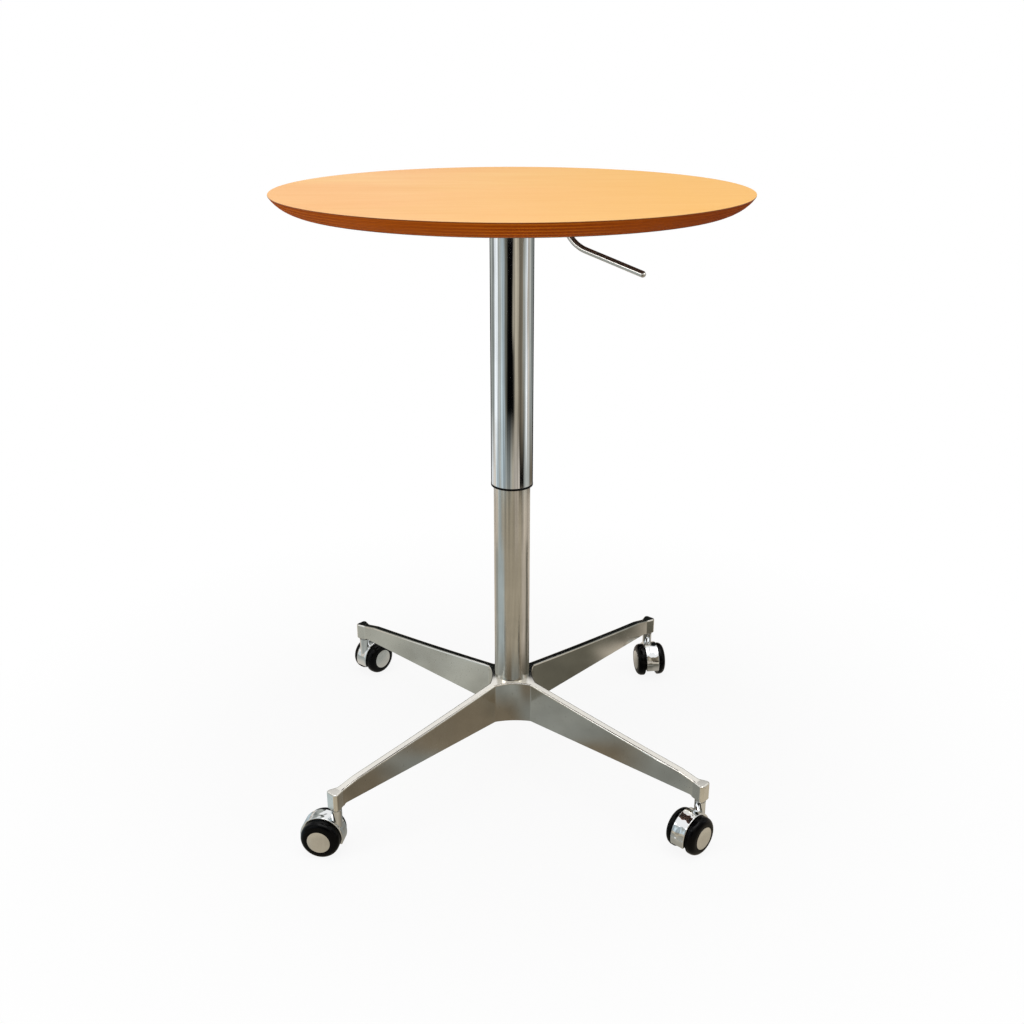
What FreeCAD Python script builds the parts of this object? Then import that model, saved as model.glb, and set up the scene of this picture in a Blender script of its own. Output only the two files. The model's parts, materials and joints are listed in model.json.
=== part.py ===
"""Telescoping pedestal table on casters, raised, as an assembly of separate pieces.

Millimetres, +Z up. The origin is on the floor, on the column's axis. The top, the outer tube and
the gas cylinder slide down the column together by LIFT_TRAVEL.
"""
import FreeCAD, Part
import math
import os

# Table top
TOP_HEIGHT = 810.0           # floor to top face, raised
TOP_DIAMETER = 600.0
FACE_VENEER = 1.0
CORE_THICKNESS = 17.0
BACKING_THICKNESS = 1.0
EDGE_LAND = 1.0              # upright part of the edge, below the top face
EDGE_UNDERCUT = 25.0         # how far the underside is set in from the edge
EDGE_ROUND = 46.0            # radius of the curve between the two

# Column
LIFT_TRAVEL = 205.0
TUBE_OVERLAP = 98.0          # inner tube inside outer tube, raised
LIFT_END_ROOM = 39.0         # left above the inner tube, lowered
INNER_TUBE_OD = 50.0
INNER_TUBE_WALL = 2.0
TUBE_GAP = 1.5               # radial space between the two tubes
OUTER_TUBE_WALL = 2.0
GUIDE_CLEARANCE = 0.15       # radial, plastic guides
RUNNING_CLEARANCE = 0.05     # radial, steel pins in their bores
RING_HEIGHT = 3.0            # visible lip of the lower guide bush
RING_PROUD = 0.2
LOWER_BUSH_LENGTH = 25.0
UPPER_BUSH_LENGTH = 40.0
UPPER_BUSH_LIP = 3.0
UPPER_BUSH_LIP_ROOM = 0.3    # radial, lip clear of the outer tube
TUBE_FOOT_INSET = 3.0        # inner tube's foot above the hub's underside

# Mounting channel under the top
CHANNEL_DEPTH = 30.0
CHANNEL_GAUGE = 3.0
CHANNEL_WIDTH = 68.0
CHANNEL_LENGTH = 132.0
CHANNEL_BEND = 3.0
FLANGE_WIDTH = 28.0
SCREW_DIAMETER = 6.0
SCREW_LENGTH = 14.0
SCREW_HEAD_DIAMETER = 12.0
SCREW_HEAD_HEIGHT = 3.5
SCREW_DRIVE_WIDTH = 4.0      # across flats of the hexagon socket in each head
SCREW_DRIVE_DEPTH = 2.0
SCREW_END_MARGIN = 18.0
INSERT_WALL = 1.8
INSERT_LENGTH = 12.0

# Gas spring
CYLINDER_OD = 28.0
CYLINDER_WALL = 2.0
CYLINDER_BELOW_BUSH = 22.0
CYLINDER_HEAD = 35.5
SOCKET_WALL = 5.0
SOCKET_FLANGE = 7.0
SOCKET_CLEARANCE = 0.1       # radial, socket flange in the outer tube
SOCKET_BELOW_CYLINDER_TOP = 3.0
TAPER_PER_SIDE = 0.025       # radius lost per millimetre of the cylinder's taper
ROD_GUIDE_LENGTH = 20.0
ROD_DIAMETER = 10.0
ROD_SHOULDER = 1.0           # step down in radius at the rod's two ends
PISTON_LENGTH = 12.0
PISTON_REST_GAP = 3.0        # piston above the rod guide, raised
NUT_ACROSS_FLATS = 13.0
NUT_HEIGHT = 6.5
NUT_THREAD_SHOWN = 1.5
BUFFER_DIAMETER = 26.0
BUFFER_LENGTH = 15.0

# Thrust bearing at the foot of the column
PLATE_INSET = 3.0            # plate above the inner tube's foot
PLATE_THICKNESS = 4.0
RACE_OD = 30.0
RACE_THICKNESS = 3.0
RACE_GAP = 3.0
RACE_BORE_CLEARANCE = 0.2
BALL_DIAMETER = 5.0
BALL_COUNT = 8
BALL_CLEARANCE = 0.1
CAGE_THICKNESS = 1.6
WASHER_DIAMETER = 18.0
WASHER_THICKNESS = 1.2
CLIP_DIAMETER = 14.0
CLIP_THICKNESS = 1.2
CLIP_GROOVE = 0.7            # depth of a clip's groove
ROD_END_BELOW_CLIP = 2.0

# Release lever, which points LEVER_ANGLE away from +X
LEVER_ANGLE = -37.0
TONGUE_ROOM = 4.2            # tongue below the table top's underside
TONGUE_THICKNESS = 5.0
TONGUE_WIDTH = 14.0
TONGUE_REACH = 7.0           # tongue past the column's axis
TONGUE_HUB_DIAMETER = 16.0
TONGUE_HUB_WIDTH = 22.0
TONGUE_NOSE = 14.0           # boss that holds the rod, out from the hub
TONGUE_GAP = 0.3             # tongue above the release pin
PIVOT_DIAMETER = 6.0
PIVOT_ROOM = 3.0             # tongue's hub clear of the taper socket
PIVOT_END = 4.0              # pin past the channel's sides
PIVOT_CLIP_DIAMETER = 12.0
PIVOT_CLIP_INSET = 0.4       # clip clear of the channel's side
RELEASE_PIN_DIAMETER = 8.0
RELEASE_PIN_STAND = 4.0      # pin above the gas cylinder
RELEASE_PIN_ROUND = 2.5
RELEASE_COLLAR_DIAMETER = 13.0
RELEASE_COLLAR_LENGTH = 6.0
RELEASE_COLLAR_GAP = 0.3
LEVER_DIAMETER = 8.0
LEVER_KNEE_BEND = 26.0       # bend radii of the rod's centre line
LEVER_ELBOW_BEND = 45.0
LEVER_KNEE_ROOM = 5.8        # first bend past the channel's end
LEVER_ELBOW_OUT = 23.5
LEVER_ELBOW_DROP = 29.0
LEVER_TIP_OUT = 93.7
LEVER_TIP_DROP = 24.5
GRUB_DIAMETER = 4.0
GRUB_LENGTH = 4.0

# Casters
WHEEL_DIAMETER = 52.0
WHEEL_WIDTH = 11.8
TREAD_WIDTH = 4.4
TREAD_CHAMFER = 0.7
TREAD_GROOVE_AT = 2.6
TREAD_GROOVE = 0.6
SHOULDER_DROP = 8.0          # tread radius less the flat face's radius
WHEEL_GAP = 0.4
HOOD_WIDTH = 20.4
HOOD_PROUD = 2.5             # hood radius past the wheel's
HOOD_DROP = 8.5             # hood's lower edge below the axle
HOOD_WALL = 2.5
HOOD_ROUND = 0.9
HOOD_SEAM_RISE = 3.0         # seam above the axle
HOOD_SEAM = 0.8
AXLE_BOSS_DIAMETER = 13.0
TRAIL = 19.0                 # axle behind the stem
AXLE_DIAMETER = 6.0
AXLE_END_GAP = 0.5           # axle's end clear of the cap
NECK_RISE = 12.0             # neck's top above the wheel
NECK_WALL = 3.2
NECK_FOOT_RISE = 8.0         # centre of the neck's round foot above the axle
STEM_FOOT_DIAMETER = 8.0
STEM_FOOT_LENGTH = 28.0
STEM_DIAMETER = 9.5
STEM_LENGTH = 20.0
STEM_BORE_ROOM = 2.0         # left above the stem in its bore
STEM_COLLAR_DIAMETER = 13.0
STEM_COLLAR = 1.5
STEM_COLLAR_GAP = 0.2
SLEEVE_WALL = 0.75
CAP_DIAMETER = 30.5
CAP_RECESS = 1.0
CAP_PROUD = 0.4
CAP_DOME = 1.6
CAP_CLEARANCE = 0.1
CAP_SPIGOT_DIAMETER = 9.0
CAP_SPIGOT_LENGTH = 2.0

# Star base
ARM_RADIUS = 333.0           # column axis to caster stem
ARM_WIDTH = 11.0
ARM_SAG = 1.0                # hollow of the arm's top line
ARM_TIP_HEIGHT = 26.5        # arm's height where its top line begins to dip
ARM_TIP_RISE = 4.0           # arm's underside above the boss's at the tip
ARM_ROOT_DROP = 2.0          # hub's underside below the boss's
HUB_HEIGHT = 62.0
HUB_WALL = 4.7               # least metal round the inner tube
HUB_HOLLOW = 3.6             # how far the hub's walls curve in between two arms
HUB_CREASE = 4.0             # radius where the hub's walls meet the arms
BOSS_WALL = 5.4              # each side of the stem's bore, at the arm's end face
BOSS_END_WALL = 3.0          # from the stem's bore to the arm's end face
BOSS_CORNER = 4.5            # upright corners of the arm's end
BOSS_BEND = 8.0              # where the arm's sides begin to widen
BOSS_FOOT_CHAMFER = 1.8
BOSS_ROOF = 3.5              # metal above the stem's bore
BOSS_DIP = 33.0              # from where the arm's top line begins to dip to the stem
DIP_ROUND = 40.0
BOSS_SCOOP = 6.0             # hollow where the arm's underside meets the boss
ARM_EDGE_ROUND = 2.0

# Where each caster stands round the base, and which way it trails
CASTER_ANGLES = {
    "front_right": (-45.0, -137.0),
    "rear_right": (45.0, -84.0),
    "rear_left": (135.0, 47.0),
    "front_left": (225.0, 168.0),
}

# Heights worked out from the sizes above
TOP_THICKNESS = FACE_VENEER + CORE_THICKNESS + BACKING_THICKNESS
UNDERSIDE = TOP_HEIGHT - TOP_THICKNESS
CHANNEL_FLOOR = UNDERSIDE - CHANNEL_DEPTH
CHANNEL_FLOOR_TOP = CHANNEL_FLOOR + CHANNEL_GAUGE
PIVOT_Z = (UNDERSIDE + CHANNEL_FLOOR_TOP) / 2
TONGUE_BOTTOM = UNDERSIDE - TONGUE_ROOM - TONGUE_THICKNESS
RELEASE_PIN_TOP = TONGUE_BOTTOM - TONGUE_GAP
CYLINDER_TOP = RELEASE_PIN_TOP - RELEASE_PIN_STAND
CYLINDER_HEAD_BOTTOM = CYLINDER_TOP - CYLINDER_HEAD
SOCKET_TOP = CYLINDER_TOP - SOCKET_BELOW_CYLINDER_TOP
SOCKET_BOTTOM = CHANNEL_FLOOR - SOCKET_FLANGE
RING_BOTTOM = CHANNEL_FLOOR - LIFT_TRAVEL - TUBE_OVERLAP - LIFT_END_ROOM
OUTER_TUBE_BOTTOM = RING_BOTTOM + RING_HEIGHT
INNER_TUBE_TOP = RING_BOTTOM + TUBE_OVERLAP
UPPER_BUSH_BOTTOM = INNER_TUBE_TOP - UPPER_BUSH_LENGTH
CYLINDER_BOTTOM = UPPER_BUSH_BOTTOM - CYLINDER_BELOW_BUSH
ROD_GUIDE_TOP = CYLINDER_BOTTOM + ROD_GUIDE_LENGTH
PISTON_BOTTOM = ROD_GUIDE_TOP + PISTON_REST_GAP
PISTON_TOP = PISTON_BOTTOM + PISTON_LENGTH

WHEEL_RADIUS = WHEEL_DIAMETER / 2
CASTER_HEIGHT = WHEEL_DIAMETER + NECK_RISE
BOSS_BOTTOM = CASTER_HEIGHT + STEM_COLLAR + STEM_COLLAR_GAP
STEM_BORE_TOP = BOSS_BOTTOM + STEM_LENGTH + STEM_BORE_ROOM
BOSS_TOP = STEM_BORE_TOP + BOSS_ROOF
HUB_BOTTOM = BOSS_BOTTOM - ARM_ROOT_DROP
HUB_TOP = HUB_BOTTOM + HUB_HEIGHT
INNER_TUBE_BOTTOM = HUB_BOTTOM + TUBE_FOOT_INSET
PLATE_BOTTOM = INNER_TUBE_BOTTOM + PLATE_INSET
PLATE_TOP = PLATE_BOTTOM + PLATE_THICKNESS
LOWER_RACE_TOP = PLATE_TOP + RACE_THICKNESS
UPPER_RACE_BOTTOM = LOWER_RACE_TOP + RACE_GAP
UPPER_RACE_TOP = UPPER_RACE_BOTTOM + RACE_THICKNESS

# Widths worked out from the sizes above
INNER_TUBE_ID = INNER_TUBE_OD - 2 * INNER_TUBE_WALL
OUTER_TUBE_ID = INNER_TUBE_OD + 2 * TUBE_GAP
OUTER_TUBE_OD = OUTER_TUBE_ID + 2 * OUTER_TUBE_WALL
CYLINDER_ID = CYLINDER_OD - 2 * CYLINDER_WALL
SOCKET_OD = CYLINDER_OD + 2 * SOCKET_WALL
ROD_FOOT_DIAMETER = ROD_DIAMETER - 2 * ROD_SHOULDER
RACE_BORE = ROD_FOOT_DIAMETER + 2 * RACE_BORE_CLEARANCE
BALL_CIRCLE = (RACE_OD + RACE_BORE) / 2
INSERT_OD = SCREW_DIAMETER + 2 * INSERT_WALL
PIVOT_OUT = SOCKET_OD / 2 + PIVOT_ROOM + TONGUE_HUB_DIAMETER / 2
SLEEVE_OD = STEM_DIAMETER + 2 * SLEEVE_WALL
BOSS_WIDTH = SLEEVE_OD + 2 * BOSS_WALL
BOSS_REACH = SLEEVE_OD / 2 + BOSS_END_WALL
NECK_BORE = STEM_FOOT_DIAMETER + 2 * RUNNING_CLEARANCE
NECK_DIAMETER = NECK_BORE + 2 * NECK_WALL
AXLE_BORE = AXLE_DIAMETER + 2 * RUNNING_CLEARANCE
WHEEL_INNER = HOOD_WIDTH / 2 + WHEEL_GAP
CAP_SEAT = WHEEL_WIDTH - CAP_RECESS
SPIGOT_FLOOR = CAP_SEAT - CAP_SPIGOT_LENGTH
CAP_RECESS_DIAMETER = CAP_DIAMETER + 2 * CAP_CLEARANCE
HALF_ARM = ARM_WIDTH / 2
HUB_RADIUS = INNER_TUBE_OD / 2 + HUB_WALL

DIAGONAL = math.sqrt(0.5)    # sine and cosine of 45 degrees
SAME = 0.01                  # two places closer than this are one

ORIGIN = FreeCAD.Vector(0, 0, 0)
UP = FreeCAD.Vector(0, 0, 1)
ALONG_X = FreeCAD.Vector(1, 0, 0)
ALONG_Y = FreeCAD.Vector(0, 1, 0)


def vec(x, y, z):
    return FreeCAD.Vector(x, y, z)


def rod(diameter, low, high, x=0.0, y=0.0):
    """An upright cylinder from one height to another."""
    return Part.makeCylinder(diameter / 2, high - low, vec(x, y, low), UP)


def cross_rod(diameter, length, x, z):
    """A cylinder along Y, centred on the XZ plane."""
    return Part.makeCylinder(diameter / 2, length, vec(x, -length / 2, z), ALONG_Y)


def tube(outer, inner, low, high):
    return rod(outer, low, high).cut(rod(inner, low, high))


def box(x, y, z):
    """A box from three (low, high) pairs."""
    return Part.makeBox(x[1] - x[0], y[1] - y[0], z[1] - z[0], vec(x[0], y[0], z[0]))


def hexagon(across_flats, low, high):
    corner = across_flats / math.sqrt(3)
    angles = [math.radians(60 * k) for k in range(7)]
    outline = Part.makePolygon([vec(corner * math.cos(a), corner * math.sin(a), low) for a in angles])
    return Part.Face(outline).extrude(UP * (high - low))


def line(start, end):
    return Part.LineSegment(start, end).toShape()


def arc(start, middle, end):
    return Part.Arc(start, middle, end).toShape()


def bend_at(before, corner, after, radius):
    """The arc that rounds a corner of a path, as its start, middle and end."""
    back = (before - corner).normalize()
    ahead = (after - corner).normalize()
    half_turn = (math.pi - back.getAngle(ahead)) / 2
    tangent = radius * math.tan(half_turn)
    inward = (back + ahead).normalize()
    rise = radius / math.cos(half_turn) - radius
    return corner + back * tangent, corner + inward * rise, corner + ahead * tangent


def turned(edges, axis=UP):
    """A solid of revolution about an axis through the origin, from the edges of its half section."""
    return Part.Face(Part.Wire(Part.sortEdges(edges)[0])).revolve(ORIGIN, axis, 360)


def turned_polygon(points, axis=UP):
    corners = points + points[:1]
    return turned([line(a, b) for a, b in zip(corners, corners[1:])], axis)


def turn_about_column(shape, degrees):
    moved = shape.copy()
    moved.rotate(ORIGIN, UP, degrees)
    return moved


def repeat_round(shape, degrees_each):
    return [turn_about_column(shape, angle) for angle in degrees_each]


# Table top

def edge_centre():
    """Centre of the curve that the edge follows below its upright part."""
    start = vec(TOP_DIAMETER / 2, 0, TOP_HEIGHT - EDGE_LAND)
    end = vec(TOP_DIAMETER / 2 - EDGE_UNDERCUT, 0, UNDERSIDE)
    chord = end - start
    inward = vec(chord.z, 0, -chord.x).normalize()
    return (start + end) * 0.5 + inward * math.sqrt(EDGE_ROUND ** 2 - (chord.Length / 2) ** 2)


def edge_point(height):
    """Point of the edge at a height: upright at first, then curving in to the underside."""
    if height >= TOP_HEIGHT - EDGE_LAND - SAME:
        return vec(TOP_DIAMETER / 2, 0, height)
    centre = edge_centre()
    return vec(centre.x + math.sqrt(EDGE_ROUND ** 2 - (height - centre.z) ** 2), 0, height)


def top_layer(low, high):
    """A layer of the table top, turned with its stretch of the edge."""
    land = TOP_HEIGHT - EDGE_LAND
    section = [line(vec(0, 0, low), edge_point(low)), line(vec(0, 0, high), edge_point(high)),
               line(vec(0, 0, low), vec(0, 0, high))]
    if high > land + SAME:
        section.append(line(edge_point(max(low, land)), edge_point(high)))
    if low < land - SAME:
        curve_top = min(high, land)
        section.append(arc(edge_point(low), edge_point((low + curve_top) / 2), edge_point(curve_top)))
    return turned(section)


def screw_places():
    x = CHANNEL_LENGTH / 2 - SCREW_END_MARGIN
    y = CHANNEL_WIDTH / 2 + FLANGE_WIDTH / 2
    return [(x, y), (-x, y), (-x, -y), (x, -y)]


def on_lever_side(shape):
    """Turn a piece that was drawn with the lever along +X to the lever's own direction."""
    return turn_about_column(shape, LEVER_ANGLE)


def make_top():
    insert_holes = [rod(INSERT_OD, UNDERSIDE, UNDERSIDE + INSERT_LENGTH, x, y) for x, y in screw_places()]
    screw_tips = [rod(SCREW_DIAMETER, UNDERSIDE, screw_tip_height(), x, y) for x, y in screw_places()]
    holes = on_lever_side(Part.makeCompound(insert_holes + screw_tips))
    core_bottom = UNDERSIDE + BACKING_THICKNESS
    core_top = core_bottom + CORE_THICKNESS
    return {
        "top_veneer": top_layer(core_top, TOP_HEIGHT),
        "top_core": top_layer(core_bottom, core_top).cut(holes.Solids),
        "top_backing": top_layer(UNDERSIDE, core_bottom).cut(holes.Solids),
    }


def screw_tip_height():
    return UNDERSIDE - CHANNEL_GAUGE + SCREW_LENGTH


def make_mount_channel():
    half = CHANNEL_WIDTH / 2
    inner = half - CHANNEL_GAUGE
    outer = half + FLANGE_WIDTH
    flange_bottom = UNDERSIDE - CHANNEL_GAUGE
    section = [
        (-outer, UNDERSIDE), (-inner, UNDERSIDE), (-inner, CHANNEL_FLOOR_TOP), (inner, CHANNEL_FLOOR_TOP),
        (inner, UNDERSIDE), (outer, UNDERSIDE), (outer, flange_bottom), (half, flange_bottom),
        (half, CHANNEL_FLOOR), (-half, CHANNEL_FLOOR), (-half, flange_bottom), (-outer, flange_bottom),
    ]
    start = -CHANNEL_LENGTH / 2
    corners = [vec(start, y, z) for y, z in section]
    channel = Part.Face(Part.makePolygon(corners + corners[:1])).extrude(ALONG_X * CHANNEL_LENGTH)
    bends = [e for e in channel.Edges if is_bend_edge(e, half)]
    channel = channel.makeFillet(CHANNEL_BEND, bends)
    cuts = [rod(SCREW_DIAMETER, flange_bottom, UNDERSIDE, x, y) for x, y in screw_places()]
    cuts.append(rod(SOCKET_OD, CHANNEL_FLOOR, CHANNEL_FLOOR_TOP))
    cuts.append(cross_rod(PIVOT_DIAMETER, CHANNEL_WIDTH, PIVOT_OUT, PIVOT_Z))
    return channel.cut(cuts)


def is_bend_edge(edge, half):
    """The outside of each fold: where the floor and the flanges meet the channel's sides."""
    middle = edge.CenterOfMass
    full_length = abs(edge.Length - CHANNEL_LENGTH) < SAME
    return full_length and abs(abs(middle.y) - half) < SAME


def make_fixings():
    head_top = UNDERSIDE - CHANNEL_GAUGE
    head_bottom = head_top - SCREW_HEAD_HEIGHT
    screws, inserts = [], []
    for x, y in screw_places():
        screw = rod(SCREW_HEAD_DIAMETER, head_bottom, head_top, x, y)
        screw = screw.fuse(rod(SCREW_DIAMETER, head_top, screw_tip_height(), x, y)).removeSplitter()
        drive = hexagon(SCREW_DRIVE_WIDTH, head_bottom, head_bottom + SCREW_DRIVE_DEPTH)
        drive.translate(vec(x, y, 0))
        screws.append(screw.cut(drive))
        insert = tube(INSERT_OD, SCREW_DIAMETER, UNDERSIDE, UNDERSIDE + INSERT_LENGTH)
        insert.translate(vec(x, y, 0))
        inserts.append(insert)
    return {"mount_screws": Part.makeCompound(screws), "threaded_inserts": Part.makeCompound(inserts)}


# Column

def cylinder_radius(height):
    """Outside radius of the gas cylinder, which tapers inside its socket."""
    return CYLINDER_OD / 2 - TAPER_PER_SIDE * max(0.0, height - SOCKET_BOTTOM)


def make_taper_socket():
    flange = (OUTER_TUBE_ID / 2) - SOCKET_CLEARANCE
    body = SOCKET_OD / 2
    return turned_polygon([
        vec(cylinder_radius(SOCKET_BOTTOM), 0, SOCKET_BOTTOM), vec(flange, 0, SOCKET_BOTTOM),
        vec(flange, 0, CHANNEL_FLOOR), vec(body, 0, CHANNEL_FLOOR), vec(body, 0, SOCKET_TOP),
        vec(cylinder_radius(SOCKET_TOP), 0, SOCKET_TOP),
    ])


def make_outer_column():
    bore = INNER_TUBE_OD + 2 * GUIDE_CLEARANCE
    ring = tube(OUTER_TUBE_OD + 2 * RING_PROUD, bore, RING_BOTTOM, OUTER_TUBE_BOTTOM)
    sleeve = tube(OUTER_TUBE_ID, bore, OUTER_TUBE_BOTTOM, OUTER_TUBE_BOTTOM + LOWER_BUSH_LENGTH)
    return {
        "outer_tube": tube(OUTER_TUBE_OD, OUTER_TUBE_ID, OUTER_TUBE_BOTTOM, CHANNEL_FLOOR),
        "lower_guide_bush": ring.fuse(sleeve).removeSplitter(),
    }


def make_inner_column():
    bore = CYLINDER_OD + 2 * GUIDE_CLEARANCE
    lip_diameter = OUTER_TUBE_ID - 2 * UPPER_BUSH_LIP_ROOM
    lip = tube(lip_diameter, bore, INNER_TUBE_TOP, INNER_TUBE_TOP + UPPER_BUSH_LIP)
    sleeve = tube(INNER_TUBE_ID, bore, UPPER_BUSH_BOTTOM, INNER_TUBE_TOP)
    return {
        "inner_tube": tube(INNER_TUBE_OD, INNER_TUBE_ID, INNER_TUBE_BOTTOM, INNER_TUBE_TOP),
        "tube_guide_bush": lip.fuse(sleeve).removeSplitter(),
        "tube_bottom_plate": tube(INNER_TUBE_ID, RACE_BORE, PLATE_BOTTOM, PLATE_TOP),
    }


def make_gas_cylinder():
    shell = turned_polygon([
        vec(0, 0, CYLINDER_BOTTOM), vec(CYLINDER_OD / 2, 0, CYLINDER_BOTTOM),
        vec(CYLINDER_OD / 2, 0, SOCKET_BOTTOM), vec(cylinder_radius(CYLINDER_TOP), 0, CYLINDER_TOP),
        vec(0, 0, CYLINDER_TOP),
    ])
    pin_bore = rod(RELEASE_PIN_DIAMETER + 2 * RUNNING_CLEARANCE, CYLINDER_HEAD_BOTTOM, CYLINDER_TOP)
    guide = tube(CYLINDER_ID, ROD_DIAMETER + 2 * RUNNING_CLEARANCE, CYLINDER_BOTTOM, ROD_GUIDE_TOP)
    return {
        "gas_cylinder": shell.cut([rod(CYLINDER_ID, CYLINDER_BOTTOM, CYLINDER_HEAD_BOTTOM), pin_bore]),
        "gas_rod_guide": guide,
    }


def make_release_pin():
    collar_top = CYLINDER_HEAD_BOTTOM - RELEASE_COLLAR_GAP
    collar_bottom = collar_top - RELEASE_COLLAR_LENGTH
    pin = rod(RELEASE_PIN_DIAMETER, collar_bottom, RELEASE_PIN_TOP)
    rim = [e for e in pin.Edges if e.CenterOfMass.z > RELEASE_PIN_TOP - SAME]
    pin = pin.makeFillet(RELEASE_PIN_ROUND, rim)
    return {"release_pin": pin.fuse(rod(RELEASE_COLLAR_DIAMETER, collar_bottom, collar_top)).removeSplitter()}


def make_piston():
    washer_bottom = PLATE_BOTTOM - WASHER_THICKNESS
    clip_bottom = washer_bottom - CLIP_THICKNESS
    thread_top = PISTON_TOP + NUT_HEIGHT + NUT_THREAD_SHOWN
    gas_rod = rod(ROD_DIAMETER, UPPER_RACE_TOP, PISTON_BOTTOM)
    foot = rod(ROD_FOOT_DIAMETER, clip_bottom - ROD_END_BELOW_CLIP, UPPER_RACE_TOP)
    groove_diameter = ROD_FOOT_DIAMETER - 2 * CLIP_GROOVE
    foot = foot.cut(tube(ROD_FOOT_DIAMETER, groove_diameter, clip_bottom, washer_bottom))
    gas_rod = gas_rod.fuse([foot, rod(ROD_FOOT_DIAMETER, PISTON_BOTTOM, thread_top)]).removeSplitter()
    clip = tube(CLIP_DIAMETER, groove_diameter, clip_bottom, washer_bottom)
    mouth = box((0, CLIP_DIAMETER), (-groove_diameter / 2, groove_diameter / 2), (clip_bottom, washer_bottom))
    nut = hexagon(NUT_ACROSS_FLATS, PISTON_TOP, PISTON_TOP + NUT_HEIGHT)
    return {
        "gas_rod": gas_rod,
        "gas_piston": tube(CYLINDER_ID - 2 * RUNNING_CLEARANCE, ROD_FOOT_DIAMETER, PISTON_BOTTOM, PISTON_TOP),
        "piston_nut": nut.cut(rod(ROD_FOOT_DIAMETER, PISTON_TOP, PISTON_TOP + NUT_HEIGHT)),
        "rod_buffer": tube(BUFFER_DIAMETER, ROD_DIAMETER, UPPER_RACE_TOP, UPPER_RACE_TOP + BUFFER_LENGTH),
        "rod_washer": tube(WASHER_DIAMETER, ROD_FOOT_DIAMETER, washer_bottom, PLATE_BOTTOM),
        "rod_clip": clip.cut(mouth),
        "bearing_upper_race": make_race(UPPER_RACE_BOTTOM, UPPER_RACE_TOP, ROD_FOOT_DIAMETER),
    }


def ball_track():
    return Part.makeTorus(BALL_CIRCLE / 2, BALL_DIAMETER / 2 + BALL_CLEARANCE, vec(0, 0, ball_height()))


def ball_height():
    return (LOWER_RACE_TOP + UPPER_RACE_BOTTOM) / 2


def make_race(low, high, bore):
    return tube(RACE_OD, bore, low, high).cut(ball_track())


def make_bearing():
    angles = [360.0 * k / BALL_COUNT for k in range(BALL_COUNT)]
    at_first_place = vec(BALL_CIRCLE / 2, 0, ball_height())
    ball = Part.makeSphere(BALL_DIAMETER / 2, at_first_place)
    pocket = Part.makeSphere(BALL_DIAMETER / 2 + BALL_CLEARANCE, at_first_place)
    cage_bottom = ball_height() - CAGE_THICKNESS / 2
    cage = tube(RACE_OD, RACE_BORE, cage_bottom, cage_bottom + CAGE_THICKNESS)
    return {
        "bearing_lower_race": make_race(PLATE_TOP, LOWER_RACE_TOP, RACE_BORE),
        "bearing_balls": Part.makeCompound(repeat_round(ball, angles)),
        "bearing_cage": cage.cut(repeat_round(pocket, angles)),
    }


# Release lever

def lever_corners():
    """Corners of the rod's centre line: in the tongue, first bend, second bend and tip."""
    knee = CHANNEL_LENGTH / 2 + LEVER_KNEE_ROOM
    start = vec(PIVOT_OUT + TONGUE_HUB_DIAMETER / 2, 0, PIVOT_Z)
    elbow = vec(knee + LEVER_ELBOW_OUT, 0, PIVOT_Z - LEVER_ELBOW_DROP)
    return [start, vec(knee, 0, PIVOT_Z), elbow, elbow + vec(LEVER_TIP_OUT, 0, -LEVER_TIP_DROP)]


def make_lever_rod():
    start, knee, elbow, tip = lever_corners()
    first = bend_at(start, knee, elbow, LEVER_KNEE_BEND)
    second = bend_at(knee, elbow, tip, LEVER_ELBOW_BEND)
    path = Part.Wire([line(start, first[0]), arc(*first), line(first[2], second[0]), arc(*second),
                      line(second[2], tip)])
    section = Part.Wire([Part.Circle(start, ALONG_X, LEVER_DIAMETER / 2).toShape()])
    bent = path.makePipeShell([section], True, False)
    return bent.fuse(Part.makeSphere(LEVER_DIAMETER / 2, tip)).removeSplitter()


def make_lever():
    hub_end = PIVOT_OUT + TONGUE_HUB_DIAMETER / 2
    nose_end = hub_end + TONGUE_NOSE
    half_tongue = TONGUE_WIDTH / 2
    hub = cross_rod(TONGUE_HUB_DIAMETER, TONGUE_HUB_WIDTH, PIVOT_OUT, PIVOT_Z)
    tongue_top = TONGUE_BOTTOM + TONGUE_THICKNESS
    tongue = box((-TONGUE_REACH, PIVOT_OUT), (-half_tongue, half_tongue), (TONGUE_BOTTOM, tongue_top))
    hub_start = PIVOT_OUT - TONGUE_HUB_DIAMETER / 2
    web = box((hub_start, PIVOT_OUT), (-half_tongue, half_tongue), (PIVOT_Z, tongue_top))
    nose = Part.makeCylinder(half_tongue, nose_end - PIVOT_OUT, vec(PIVOT_OUT, 0, PIVOT_Z), ALONG_X)
    rod_hole = Part.makeCylinder(LEVER_DIAMETER / 2, nose_end - hub_end, vec(hub_end, 0, PIVOT_Z), ALONG_X)
    pivot_hole = cross_rod(PIVOT_DIAMETER + 2 * RUNNING_CLEARANCE, TONGUE_HUB_WIDTH, PIVOT_OUT, PIVOT_Z)
    grub_x = (hub_end + nose_end) / 2
    grub_bottom = PIVOT_Z + LEVER_DIAMETER / 2
    grub_hole = rod(GRUB_DIAMETER, PIVOT_Z, PIVOT_Z + TONGUE_WIDTH, grub_x)
    grub = rod(GRUB_DIAMETER, grub_bottom, grub_bottom + GRUB_LENGTH, grub_x)
    grub = grub.cut(Part.makeCylinder(LEVER_DIAMETER / 2, TONGUE_NOSE, vec(hub_end, 0, PIVOT_Z), ALONG_X))
    return {
        "lever_tongue": hub.fuse([tongue, web, nose]).removeSplitter().cut([rod_hole, pivot_hole, grub_hole]),
        "lever_screw": grub,
        "lever_rod": make_lever_rod(),
    }


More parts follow.
